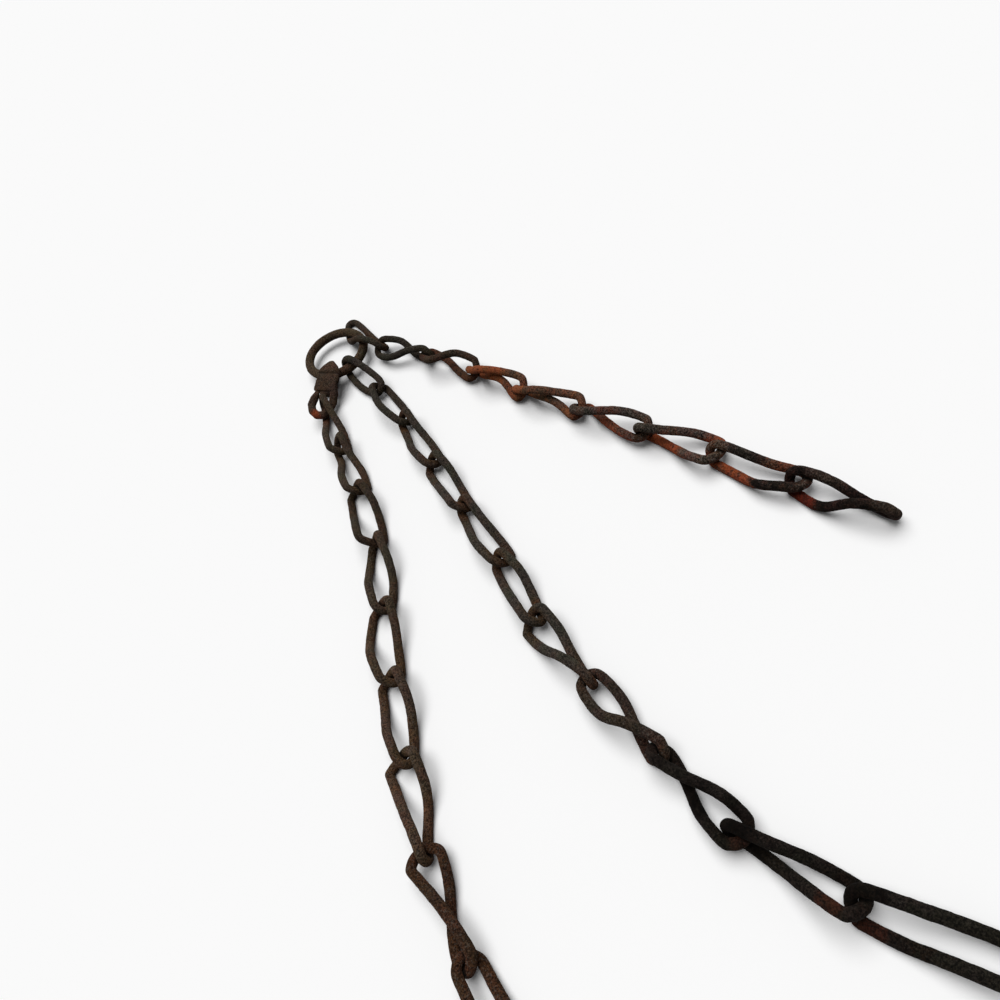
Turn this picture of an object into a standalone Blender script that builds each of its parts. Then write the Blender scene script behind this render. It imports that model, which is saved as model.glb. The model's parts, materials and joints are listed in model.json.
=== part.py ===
"""A rusty three-strand hanging chain, lying loose on the ground.

An iron ring gathers three strands. Each strand is a run of links bent by hand from iron wire and
closed. The middle and right strands loop straight over the ring, and the left one hangs on a strap
hook that is folded over it. Most links are twisted, so that one end stands up while the other lies
open, and each passes through its neighbours with a small gap.
"""

import math
from dataclasses import dataclass

import bmesh
import bpy
import numpy as np

MM = 0.001

# Driving dimensions, in millimetres.
WIRE = 3.5
RING_WIRE = 4.8
RING_HALF_WIDTH = 15.9
RING_HALF_LENGTH = 19.5
RING_CENTRE = (0.1, 1.5)
RING_TURN = 28.0
RING_HEIGHT = 6.7

# How finely the wires are faceted.
ARC_ANGLES = (30.0, 60.0, 90.0)
LINK_STEPS = 19
CURVE_STEPS = 16
CHORD_SHARE = 7
RING_STEPS = 24
WIRE_SIDES_STEP = 2
FACET_TURN = math.radians(22.5)


@dataclass(frozen=True)
class Link:
    """One link, bent from a closed loop of wire.

    Attributes:
        end: the plan point where its tail meets the next link.
        rolls: how far its head and its tail are turned about its length, in degrees, where a positive
            roll lifts the left wire.
        left: the half widths of its left wire at the head, one third, two thirds and the tail.
        right: the same for its right wire.
        height: the height of the tail joint.
        reach: how far the head and the tail go beyond their joints.
        bows: how far the head and the tail arcs reach along the link.
        twist: the shares of the length between which it turns from one roll to the other.
    """

    end: tuple
    rolls: tuple
    left: tuple
    right: tuple
    height: float = 5.3
    reach: tuple = (2.0, 2.0)
    bows: tuple = (5.0, 5.0)
    twist: tuple = (0.15, 0.85)


# Each strand starts at a joint beside the ring's centre and runs outward.
LEFT_START = (-21.0, -28.6, 5.9)
LEFT_STRAND = (
    Link((-25.3, -64.3), (60, -50), (4.2, 3.6, 3.9, 4.4), (4.0, 4.8, 5.0, 6.2), 5.3, (4.4, 5.0)),
    Link((-27.9, -98.6), (49, -50), (6.0, 3.4, 4.9, 5.0), (6.0, 4.0, 5.5, 6.5), 5.3, (4.5, 3.0)),
    Link((-33.0, -134.3), (45, -55), (3.6, 5.5, 4.6, 4.1), (10.6, 8.9, 7.2, 8.8), 5.3, (2.7, 2.3)),
    Link((-44.4, -167.5), (50, -50), (4.6, 6.1, 5.1, 4.1), (7.8, 7.7, 5.7, 4.8), 5.3, (2.7, 2.3)),
    Link((-54.6, -199.3), (40, -46), (6.3, 5.2, 3.5, 3.8), (10.4, 10.7, 7.9, 6.1), 5.3, (2.4, 2.3)),
    Link((-63.7, -231.5), (45, -46), (6.5, 6.7, 4.4, 3.6), (10.5, 7.5, 5.7, 4.2), 5.3, (2.4, 2.3)),
    Link((-72.0, -265.3), (36, -95), (6.6, 5.8, 5.1, 4.1), (11.6, 6.0, 4.7, 5.0), 5.8, (2.4, 2.0)),
    Link((-73.8, -300.3), (-10, -146), (5.5, 4.0, 4.0, 4.5), (5.8, 2.4, 3.9, 4.0), 5.3, (2.0, 2.6)),
    Link((-72.0, -334.0), (140, 170), (4.4, 4.5, 5.0, 5.0), (4.7, 4.5, 5.0, 5.0)),
)
MIDDLE_START = (7.6, -46.4, 5.3)
MIDDLE_STRAND = (
    Link((9.1, -79.4), (-45, -45), (5.3, 5.3, 5.4, 4.8), (3.7, 6.0, 6.4, 4.2), 5.3, (3.5, 2.6)),
    Link((8.5, -116.2), (45, -40), (5.3, 3.8, 4.5, 4.9), (4.4, 4.5, 5.1, 4.4), 5.3, (2.8, 2.0)),
    Link((8.4, -149.8), (45, -49), (5.6, 5.0, 3.7, 4.1), (7.1, 5.3, 4.6, 5.9), 5.3, (2.0, 2.3)),
    Link((7.4, -185.5), (45, -50), (4.3, 3.5, 4.5, 6.8), (5.0, 4.8, 5.3, 5.0), 5.3, (2.7, 2.7)),
    Link((5.4, -218.2), (50, -50), (4.6, 5.3, 3.8, 3.4), (6.7, 5.2, 4.4, 5.3), 5.3, (2.5, 2.5)),
    Link((7.9, -251.9), (40, -93), (5.4, 3.8, 2.2, 3.8), (8.9, 5.7, 5.1, 4.3), 5.7, (2.8, 2.0)),
    Link(
        (12.3, -285.9), (-5, -130), (4.1, 3.9, 2.0, 4.7), (4.9, 5.7, 5.7, 4.1),
        5.3, (2.0, 2.6), twist=(0.25, 0.92),
    ),
    Link(
        (16.9, -318.6), (124, 0), (4.1, 2.0, 4.5, 5.0), (4.1, 4.0, 4.5, 5.0),
        5.8, (2.0, 2.4), twist=(0.1, 0.8),
    ),
    Link((31.5, -348.7), (79, -45), (4.0, 2.8, 3.4, 4.8), (3.7, 3.3, 4.1, 7.7), 5.3, (4.0, 2.0)),
    Link((50.0, -378.0), (50, -10), (4.4, 4.4, 4.5, 5.0), (7.6, 6.8, 5.0, 5.0)),
)
RIGHT_START = (23.0, -18.5, 6.2)
RIGHT_STRAND = (
    Link(
        (39.1, -49.4), (20, -102), (4.3, 5.5, 5.0, 3.8), (5.7, 6.0, 2.1, 3.9),
        5.3, (2.0, 2.5), twist=(0.2, 0.85),
    ),
    Link((51.3, -82.5), (157, 34), (3.5, 7.7, 6.7, 5.5), (4.0, 4.3, 2.6, 4.3), 5.3, (2.4, 2.3)),
    Link((61.5, -114.2), (118, 42), (4.0, 8.0, 5.8, 6.0), (3.8, -1.6, -1.5, 4.1), 5.3, (2.0, 2.5)),
    Link((74.3, -146.9), (124, 33), (3.9, 7.2, 4.5, 5.3), (3.8, -0.4, 0.2, 3.9)),
    Link((85.9, -179.3), (129, 15), (4.8, 5.8, 5.3, 5.5), (6.4, 2.2, 3.2, 3.8), 5.8, (2.0, 2.5)),
    Link((99.3, -209.2), (102, -20), (5.2, 3.9, 5.2, 6.6), (4.0, 3.4, 4.4, 6.6), 5.3, (2.3, 2.0)),
    Link((111.1, -240.1), (60, -17), (3.8, 2.8, 2.4, 4.1), (6.5, 6.6, 7.1, 5.4), 5.3, (2.5, 3.5)),
    Link((122.0, -271.0), (60, -70), (4.0, 3.5, 2.5, 4.5), (7.8, 6.8, 5.0, 4.5), 5.3, (3.0, 2.0)),
)

# The links that join the middle and right strands to the ring wind under its wire and back over it.
MIDDLE_FIRST_LINK = (
    (0.6, -9.4, 4.4),
    (1.8, -10.4, 7.2),
    (3.4, -13.2, 9.6),
    (5.0, -17.6, 11.5),
    (6.6, -23.0, 11.4),
    (8.6, -29.6, 10.2),
    (10.2, -36.8, 8.4),
    (11.2, -42.6, 7.2),
    (10.6, -46.8, 6.4),
    (8.2, -48.4, 5.2),
    (5.4, -46.6, 3.6),
    (3.2, -41.2, 2.4),
    (1.2, -34.6, 1.9),
    (0.0, -27.4, 1.9),
    (-0.6, -20.2, 1.9),
    (-0.6, -14.8, 1.9),
    (-0.2, -11.2, 2.4),
)
RIGHT_FIRST_LINK = (
    (16.4, 24.2, 1.9),
    (18.9, 22.9, 1.9),
    (20.3, 19.0, 1.9),
    (21.1, 11.0, 2.0),
    (21.8, 1.0, 2.2),
    (22.7, -8.5, 2.3),
    (23.9, -13.8, 2.3),
    (24.5, -17.6, 2.6),
    (24.2, -20.2, 4.4),
    (23.3, -21.4, 6.8),
    (22.1, -20.4, 9.2),
    (20.8, -17.4, 11.0),
    (18.2, -12.8, 12.0),
    (15.4, -7.6, 11.7),
    (12.8, -3.2, 9.4),
    (11.0, 5.5, 4.4),
    (11.6, 13.5, 1.9),
    (13.9, 21.6, 1.9),
)

# The strap of the hook, from the lip over the ring's wire and back below it: the middle of each
# cross section, its half width and how far it leans down to the right, in degrees.
STRAP_THICK = 2.2
STRAP_AXIS = (-0.72, -0.69)
STRAP = (
    ((-17.0, -23.0, 9.3), 5.8, 10),
    ((-13.5, -21.1, 10.4), 6.5, 10),
    ((-10.5, -18.7, 11.2), 6.8, 8),
    ((-8.0, -15.1, 11.6), 6.7, 5),
    ((-6.0, -11.5, 11.2), 4.4, 3),
    ((-4.9, -6.9, 9.2), 2.1, 0),
    ((-4.6, -3.0, 6.4), 1.3, 0),
    ((-5.3, -2.6, 3.0), 2.2, 0),
    ((-7.9, -6.3, 1.5), 3.2, 0),
    ((-11.7, -10.4, 1.2), 4.0, 0),
    ((-15.9, -13.5, 1.3), 5.2, 0),
    ((-18.3, -17.2, 1.7), 4.2, 0),
)
# The shank leaves the strap on the right and curls round the eye to the strap's left corner.
SHANK = 4.3
EYE = (
    (-10.6, -24.9, 8.8),
    (-13.3, -27.2, 6.4),
    (-16.6, -30.2, 4.6),
    (-20.6, -34.0, 4.6),
    (-24.2, -37.4, 7.0),
    (-27.2, -34.3, 7.4),
    (-27.8, -30.7, 8.8),
    (-26.4, -26.8, 9.4),
    (-23.2, -24.4, 9.9),
    (-19.6, -20.3, 9.2),
)
EYE_END_RADII = (0.9, 0.5)

# Each piece's look: its colour, roughness and metallic value.
DARK_IRON = ((0.060, 0.044, 0.036), 0.8, 0.35)
BROWN_IRON = ((0.105, 0.074, 0.050), 0.8, 0.3)
BRIGHT_RUST = ((0.190, 0.085, 0.048), 0.9, 0.1)
BROWN_PIECES = ("ring", "strap_hook", "right_link_01", "left_link_04", "left_link_05")
BRIGHT_PIECES = ("right_link_04", "right_link_05")


def ease(value, start, stop):
    """A smooth step from 0 at start to 1 at stop."""
    share = min(max((value - start) / (stop - start), 0.0), 1.0)
    return (1.0 - math.cos(math.pi * share)) / 2


def side_stations(length, link, widths):
    """The (distance along the link, half width) of each point of one side wire, from head to tail."""
    head_bow, tail_bow = link.bows
    stations = []
    for angle in ARC_ANGLES:
        turned = math.radians(angle)
        stations.append((head_bow * (1 - math.cos(turned)), widths[0] * math.sin(turned)))
    straight = length - head_bow - tail_bow
    for share, width in zip((1 / 3, 2 / 3), widths[1:3]):
        stations.append((head_bow + straight * share, width))
    for angle in reversed(ARC_ANGLES):
        turned = math.radians(angle)
        stations.append((length - tail_bow * (1 - math.cos(turned)), widths[3] * math.sin(turned)))
    return stations


def eased_loop(controls, count):
    """A smooth closed curve through the control points, with its count points closest in the bends."""
    controls = np.array(controls, dtype=float)
    before, after, beyond = (np.roll(controls, shift, axis=0) for shift in (1, -1, -2))
    curve = []
    for share in np.arange(CURVE_STEPS) / CURVE_STEPS:
        leaving = 2 * share**3 - 3 * share**2 + 1
        rising = share**3 - 2 * share**2 + share
        settling = share**3 - share**2
        slopes = (after - before) / 2, (beyond - controls) / 2
        curve.append(leaving * controls + (1 - leaving) * after + rising * slopes[0] + settling * slopes[1])
    curve = np.stack(curve, axis=1).reshape(-1, 3)
    steps = np.roll(curve, -1, axis=0) - curve
    lengths = np.linalg.norm(steps, axis=1)
    headings = steps / lengths[:, None]
    turns = np.arccos(np.clip((headings * np.roll(headings, -1, axis=0)).sum(axis=1), -1, 1))
    paces = lengths / lengths.sum() + turns / turns.sum()
    travelled = np.concatenate(((0.0,), np.cumsum(paces)))
    wanted = np.arange(count) * travelled[-1] / count
    closed = np.vstack((curve, curve[:1]))
    path = np.stack([np.interp(wanted, travelled, closed[:, axis]) for axis in range(3)], axis=1)
    path += (path - (np.roll(path, 1, axis=0) + np.roll(path, -1, axis=0)) / 2) / CHORD_SHARE
    path[:, 2] = np.maximum(path[:, 2], WIRE / 2)
    return path


def link_path(start, link):
    """The closed centreline of a link from its joint at start, as an array of points in millimetres."""
    start = np.array(start)
    end = np.array((*link.end, link.height))
    along = (end - start) / np.linalg.norm(end - start)
    across = np.cross((0.0, 0.0, 1.0), along)
    across /= np.linalg.norm(across)
    upward = np.cross(along, across)
    head = start - along * link.reach[0]
    tail = end + along * link.reach[1]
    length = np.linalg.norm(tail - head)
    wires = []
    for side, widths in ((1, link.left), (-1, link.right)):
        wire = []
        for distance, width in side_stations(length, link, widths):
            turn = ease(distance / length, *link.twist)
            roll = math.radians(link.rolls[0] + (link.rolls[1] - link.rolls[0]) * turn)
            outward = across * math.cos(roll) + upward * math.sin(roll)
            wire.append(head + along * distance + outward * side * width)
        wires.append(wire)
    return eased_loop([head, *wires[0], tail, *reversed(wires[1])], LINK_STEPS)


def strand_paths(start, strand):
    """The centrelines of a strand's links, in order from the ring."""
    paths = []
    for link in strand:
        paths.append(link_path(start, link))
        start = (*link.end, link.height)
    return paths


def ring_path():
    """The centreline of the ring, a hoop that is a little longer than it is wide."""
    turn = math.radians(RING_TURN)
    points = []
    for step in range(RING_STEPS):
        angle = 2 * math.pi * step / RING_STEPS
        wide, long = RING_HALF_WIDTH * math.cos(angle), RING_HALF_LENGTH * math.sin(angle)
        across = wide * math.cos(turn) - long * math.sin(turn)
        away = wide * math.sin(turn) + long * math.cos(turn)
        points.append((RING_CENTRE[0] + across, RING_CENTRE[1] + away, RING_HEIGHT))
    return np.array(points)


def strap_sections():
    """The (middle, sideways unit vector, half width) of each cross section of the hook's strap."""
    sections = []
    for middle, half_width, lean in STRAP:
        turned = math.radians(lean)
        flat = np.array((-STRAP_AXIS[1], STRAP_AXIS[0], 0.0)) * math.cos(turned)
        sections.append((np.array(middle), flat - np.array((0, 0, math.sin(turned))), half_width))
    return sections


def all_paths():
    """Every wire's centreline and diameter by node name."""
    paths = {
        "ring": (ring_path(), RING_WIRE),
        "middle_link_01": (eased_loop(MIDDLE_FIRST_LINK, LINK_STEPS), WIRE),
        "right_link_01": (eased_loop(RIGHT_FIRST_LINK, LINK_STEPS), WIRE),
    }
    strands = (
        ("left", 1, LEFT_START, LEFT_STRAND),
        ("middle", 2, MIDDLE_START, MIDDLE_STRAND),
        ("right", 2, RIGHT_START, RIGHT_STRAND),
    )
    for side, first, start, strand in strands:
        for number, path in enumerate(strand_paths(start, strand), first):
            paths[f"{side}_link_{number:02d}"] = (path, WIRE)
    return paths


def iron(name, colour, roughness, metallic):
    """A plain Principled material."""
    material = bpy.data.materials.new(name)
    material.use_nodes = True
    shader = material.node_tree.nodes["Principled BSDF"]
    shader.inputs["Base Color"].default_value = (*colour, 1.0)
    shader.inputs["Roughness"].default_value = roughness
    shader.inputs["Metallic"].default_value = metallic
    return material


def bent_wire(name, path, diameter, closed=True, end_radii=(1.0, 1.0), tilt=0.0):
    """A curve object of eight-sided wire bent along a centreline given in millimetres."""
    curve = bpy.data.curves.new(name, "CURVE")
    curve.dimensions = "3D"
    curve.twist_mode = "MINIMUM"
    curve.bevel_depth = diameter / 2 * MM
    curve.bevel_resolution = WIRE_SIDES_STEP
    curve.use_fill_caps = not closed
    spline = curve.splines.new("POLY")
    spline.points.add(len(path) - 1)
    for point, place in zip(spline.points, path):
        point.co = (*(place * MM), 1.0)
        point.tilt = tilt
    spline.points[0].radius, spline.points[-1].radius = end_radii
    spline.use_cyclic_u = closed
    spline.use_smooth = True
    wire = bpy.data.objects.new(name, curve)
    bpy.context.scene.collection.objects.link(wire)
    return wire


def strap_object(name):
    """The strap as a mesh: a flat bar with worn edges, swept through its cross sections."""
    sections = strap_sections()
    middles = np.array([middle for middle, _, _ in sections])
    runs = np.gradient(middles, axis=0)
    edge = STRAP_THICK * 0.3
    mesh = bmesh.new()
    rings = []
    for (middle, sideways, half_width), run in zip(sections, runs):
        outward = np.cross(run, sideways)
        outward /= np.linalg.norm(outward)
        half_thick = STRAP_THICK / 2
        corners = (
            (half_width, half_thick - edge),
            (half_width - edge, half_thick),
            (edge - half_width, half_thick),
            (-half_width, half_thick - edge),
            (-half_width, edge - half_thick),
            (edge - half_width, -half_thick),
            (half_width - edge, -half_thick),
            (half_width, edge - half_thick),
        )
        places = [middle + sideways * across + outward * up for across, up in corners]
        rings.append([mesh.verts.new(place * MM) for place in places])
    for ring, following in zip(rings, rings[1:]):
        for number in range(len(ring)):
            corner = (number + 1) % len(ring)
            mesh.faces.new((ring[number], ring[corner], following[corner], following[number]))
    mesh.faces.new(rings[0])
    mesh.faces.new(reversed(rings[-1]))
    bmesh.ops.recalc_face_normals(mesh, faces=mesh.faces)
    data = bpy.data.meshes.new(name)
    mesh.to_mesh(data)
    mesh.free()
    strap = bpy.data.objects.new(name, data)
    bpy.context.scene.collection.objects.link(strap)
    return strap


def strap_hook():
    """The hook as one solid: the strap with its shank and eye forged on to it."""
    strap = strap_object("strap_hook")
    guide = bent_wire("eye_guide", np.array(EYE), SHANK, closed=False, end_radii=EYE_END_RADII)
    shank = bpy.data.objects.new("eye", bpy.data.meshes.new_from_object(guide))
    bpy.context.scene.collection.objects.link(shank)
    bpy.data.objects.remove(guide)
    shank.hide_render = True
    shank.display_type = "WIRE"
    join = strap.modifiers.new("forge", "BOOLEAN")
    join.operation = "UNION"
    join.solver = "EXACT"
    join.object = shank
    return strap, shank


def tone_of(name):
    """The (colour, roughness, metallic) of a piece: dark iron, brown iron or bright rust."""
    if name in BRIGHT_PIECES:
        return BRIGHT_RUST
    if name in BROWN_PIECES:
        return BROWN_IRON
    return DARK_IRON


def stand_on_ground(frame, pieces):
    """Moves the frame so that the pieces rest at zero height, centred over the origin."""
    bpy.context.view_layer.update()
    graph = bpy.context.evaluated_depsgraph_get()
    points = []
    for piece in pieces:
        solid = piece.evaluated_get(graph)
        points += [solid.matrix_world @ vertex.co for vertex in solid.to_mesh().vertices]
        solid.to_mesh_clear()
    low = np.min(points, axis=0)
    high = np.max(points, axis=0)
    frame.location = (-(low[0] + high[0]) / 2, -(low[1] + high[1]) / 2, -low[2])


def main():
    """Builds the chain in an emptied scene."""
    for old in list(bpy.data.objects):
        bpy.data.objects.remove(old)
    frame = bpy.data.objects.new("rusty_chain", None)
    bpy.context.scene.collection.objects.link(frame)
    hook, eye = strap_hook()
    pieces = [hook]
    for name, (path, diameter) in all_paths().items():
        tilt = FACET_TURN if name == "ring" else 0.0
        pieces.append(bent_wire(name, path, diameter, tilt=tilt))
    for piece in pieces:
        piece.data.materials.append(iron(piece.name, *tone_of(piece.name)))
    for item in (*pieces, eye):
        item.parent = frame
    hook.data.shade_smooth()
    hook.data.set_sharp_from_angle(angle=math.radians(40))
    stand_on_ground(frame, pieces)


if __name__ == "__main__":
    main()
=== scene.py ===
"""A rusty three-strand hanging chain, lying loose on a pale studio floor.

Each forged piece of iron takes its form from its solid: the ring, the strap hook and every link of
the left, middle and right strands. The smith's uneven work and the scale are raised in the mesh.
The colours follow how each piece has rusted: grey scale on the wires that stand up, brown earth
where pieces meet and on the wires that lie low, and bright bloom and sooty black in patches.
Painted shade blackens the iron where pieces touch and in the hook's crease, and on the speckled
right links part of the pale dust is painted highlight on the grains.
"""

from __future__ import annotations

import json
import logging
import math
from dataclasses import dataclass
from enum import Enum

import bpy
import numpy as np
from mathutils import Matrix, Vector
from mathutils.kdtree import KDTree


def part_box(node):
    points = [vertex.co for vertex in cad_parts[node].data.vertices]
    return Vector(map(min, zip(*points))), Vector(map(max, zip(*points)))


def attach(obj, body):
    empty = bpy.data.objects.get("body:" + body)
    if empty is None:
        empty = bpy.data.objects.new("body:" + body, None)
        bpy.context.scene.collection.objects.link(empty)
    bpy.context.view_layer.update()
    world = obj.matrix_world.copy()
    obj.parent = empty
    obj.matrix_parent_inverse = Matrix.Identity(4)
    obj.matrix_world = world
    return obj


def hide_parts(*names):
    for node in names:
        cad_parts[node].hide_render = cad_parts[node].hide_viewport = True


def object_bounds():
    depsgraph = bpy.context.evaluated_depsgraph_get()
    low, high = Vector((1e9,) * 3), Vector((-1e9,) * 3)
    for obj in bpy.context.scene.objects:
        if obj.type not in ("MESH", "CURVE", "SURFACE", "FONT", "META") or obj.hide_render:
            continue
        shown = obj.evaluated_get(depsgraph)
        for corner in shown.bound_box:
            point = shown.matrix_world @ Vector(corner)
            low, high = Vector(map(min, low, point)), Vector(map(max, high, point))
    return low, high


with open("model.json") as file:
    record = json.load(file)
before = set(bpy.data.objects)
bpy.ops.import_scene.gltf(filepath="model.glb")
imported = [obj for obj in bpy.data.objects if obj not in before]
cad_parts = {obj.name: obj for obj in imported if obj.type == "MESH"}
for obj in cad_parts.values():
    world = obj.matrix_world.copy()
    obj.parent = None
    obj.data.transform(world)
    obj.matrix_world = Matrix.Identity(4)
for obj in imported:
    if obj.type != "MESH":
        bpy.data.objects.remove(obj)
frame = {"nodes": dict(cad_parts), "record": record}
CAD_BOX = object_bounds()

LOG = logging.getLogger("rusty_chain")

Colour = tuple[float, float, float]

BODY = "root"

# Where a wire counts as standing up and where it counts as lying low, in metres above the ground.
LOW_WIRES = (0.0072, 0.0038)

# Painted shade where pieces touch: how near to a neighbour it starts, where it is darkest, how
# dark.
CONTACT_SHADE_RANGE = (0.88, 0.985)
CONTACT_SHADE_DARKNESS = 0.85

# How one mask eases another: the range that is read, and the range that it becomes.
EARTH_ON_BLOTCHES = (0.0, 1.0, 0.5, 1.0)
BLOOM_ON_BLOTCHES = (0.0, 0.8, 0.55, 1.0)
STAIN_ON_BLOTCHES = (0.0, 0.7, 0.6, 1.0)
SOOT_ON_BLOTCHES = (0.1, 0.8, 1.0, 0.2)
# The sooty patches and the painted shade in the hook's crease are eased by the blotches.
SOOT_STAIN_AND_SHADE_ON_BLOTCHES = (0.2, 1.0, 1.0, 0.75)
SOOT_AND_SHADE_UNDER_BLOOM = (0.2, 0.9, 1.0, 0.3)
SPECKLE_ON_BLOOM = (0.2, 1.0, 2.0, 1.1)
PIT_SHADE = (0.0, 1.0, 0.5, 1.06)

# The pits' size in metres, and from where to where their slopes run, in shares of that.
PIT_SIZE = 0.0014
PIT_SLOPE = (0.06, 0.4)

# What the speckle and the pits add to the grain's height.
SPECKLE_HEIGHT = 0.6
PIT_HEIGHT = 0.4

# The two hues between which the iron drifts, a redder and a more olive one, and the pale dust,
# which on the speckled right links is partly painted highlight on the grains.
RED_HUE = (1.09, 0.95, 0.92)
OLIVE_HUE = (0.98, 0.99, 0.82)
PALE_DUST_AND_GLINTS = (0.17, 0.150, 0.130)

# The gloss of rust, and how strongly and deeply its grain is raised.
SPECULAR = 0.04
DIFFUSE_ROUGHNESS = 0.7
ROUGHNESS_SWING = 0.08
GRAIN_STRENGTH = 0.7
GRAIN_DEPTH = 0.00016

# How near points are welded, in metres, and how bent and how skewed a joined pair of faces may be.
WELD = 0.000001
QUAD_BEND = math.radians(70.0)
QUAD_SKEW = math.radians(120.0)

# The node tree's socket types.
FLOAT = "NodeSocketFloat"
COLOR = "NodeSocketColor"
VECTOR = "NodeSocketVector"


# ---------------------------------------------------------------------------------------------
# Small helpers
# ---------------------------------------------------------------------------------------------


def select_only(piece: bpy.types.Object) -> None:
    """Makes one object the only selected one and the active one.

    Args:
        piece: the object to select.
    """
    bpy.ops.object.select_all(action="DESELECT")
    piece.select_set(True)
    bpy.context.view_layer.objects.active = piece


def apply_modifier(piece: bpy.types.Object, kind: str, **settings: object) -> None:
    """Adds a modifier to a piece, sets it and applies it.

    Args:
        piece: the object to change.
        kind: the modifier's type.
        settings: its settings by name.
    """
    modifier = piece.modifiers.new(kind.title(), kind)
    for name, value in settings.items():
        setattr(modifier, name, value)
    select_only(piece)
    bpy.ops.object.modifier_apply(modifier=modifier.name)


def points_of(piece: bpy.types.Object) -> np.ndarray:
    """The places of a mesh's vertices.

    Args:
        piece: a mesh object at the origin.

    Returns:
        An array with one row for each vertex, in metres.
    """
    places = np.empty(len(piece.data.vertices) * 3, np.float32)
    piece.data.vertices.foreach_get("co", places)
    return places.reshape(-1, 3)


def place_points(piece: bpy.types.Object, places: np.ndarray) -> None:
    """Moves a mesh's vertices.

    Args:
        piece: a mesh object at the origin.
        places: one row for each vertex, in metres.
    """
    piece.data.vertices.foreach_set("co", places.astype(np.float32).ravel())
    piece.data.update()


def write_mask(piece: bpy.types.Object, name: str, values: np.ndarray) -> None:
    """Stores a value for each vertex, for the finish to read.

    Args:
        piece: a mesh object.
        name: the attribute's name.
        values: one value for each vertex.
    """
    attribute = piece.data.attributes.new(name, "FLOAT", "POINT")
    attribute.data.foreach_set("value", values.astype(np.float32))


def smooth_step(value: np.ndarray) -> np.ndarray:
    """An eased ramp: 0 below 0, 1 above 1.

    Args:
        value: the numbers to ease.

    Returns:
        The eased numbers.
    """
    share = np.clip(value, 0.0, 1.0)
    return share * share * (3.0 - 2.0 * share)


# ---------------------------------------------------------------------------------------------
# Shader building
# ---------------------------------------------------------------------------------------------


@dataclass(frozen=True)
class Pattern:
    """A blotchy pattern in the rust.

    Attributes:
        size: the size of its blotches, in metres.
        detail: its octaves.
        roughness: how strong the fine octaves are.
        start: the noise value where it starts.
        full: the noise value where it is full.
    """

    size: float
    detail: float
    roughness: float
    start: float
    full: float


BROAD = Pattern(0.011, 3.0, 0.55, 0.38, 0.62)
BLOTCHES = Pattern(0.0034, 4.0, 0.62, 0.36, 0.64)
SPOTS = Pattern(0.0015, 3.0, 0.6, 0.5, 0.7)
SPECKLE = Pattern(0.00055, 3.0, 0.75, 0.36, 0.66)
DUST_AND_GLINT_PATTERN = Pattern(0.00075, 2.0, 0.8, 0.56, 0.62)
DRIFT = Pattern(0.0075, 2.0, 0.5, 0.36, 0.64)


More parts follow.
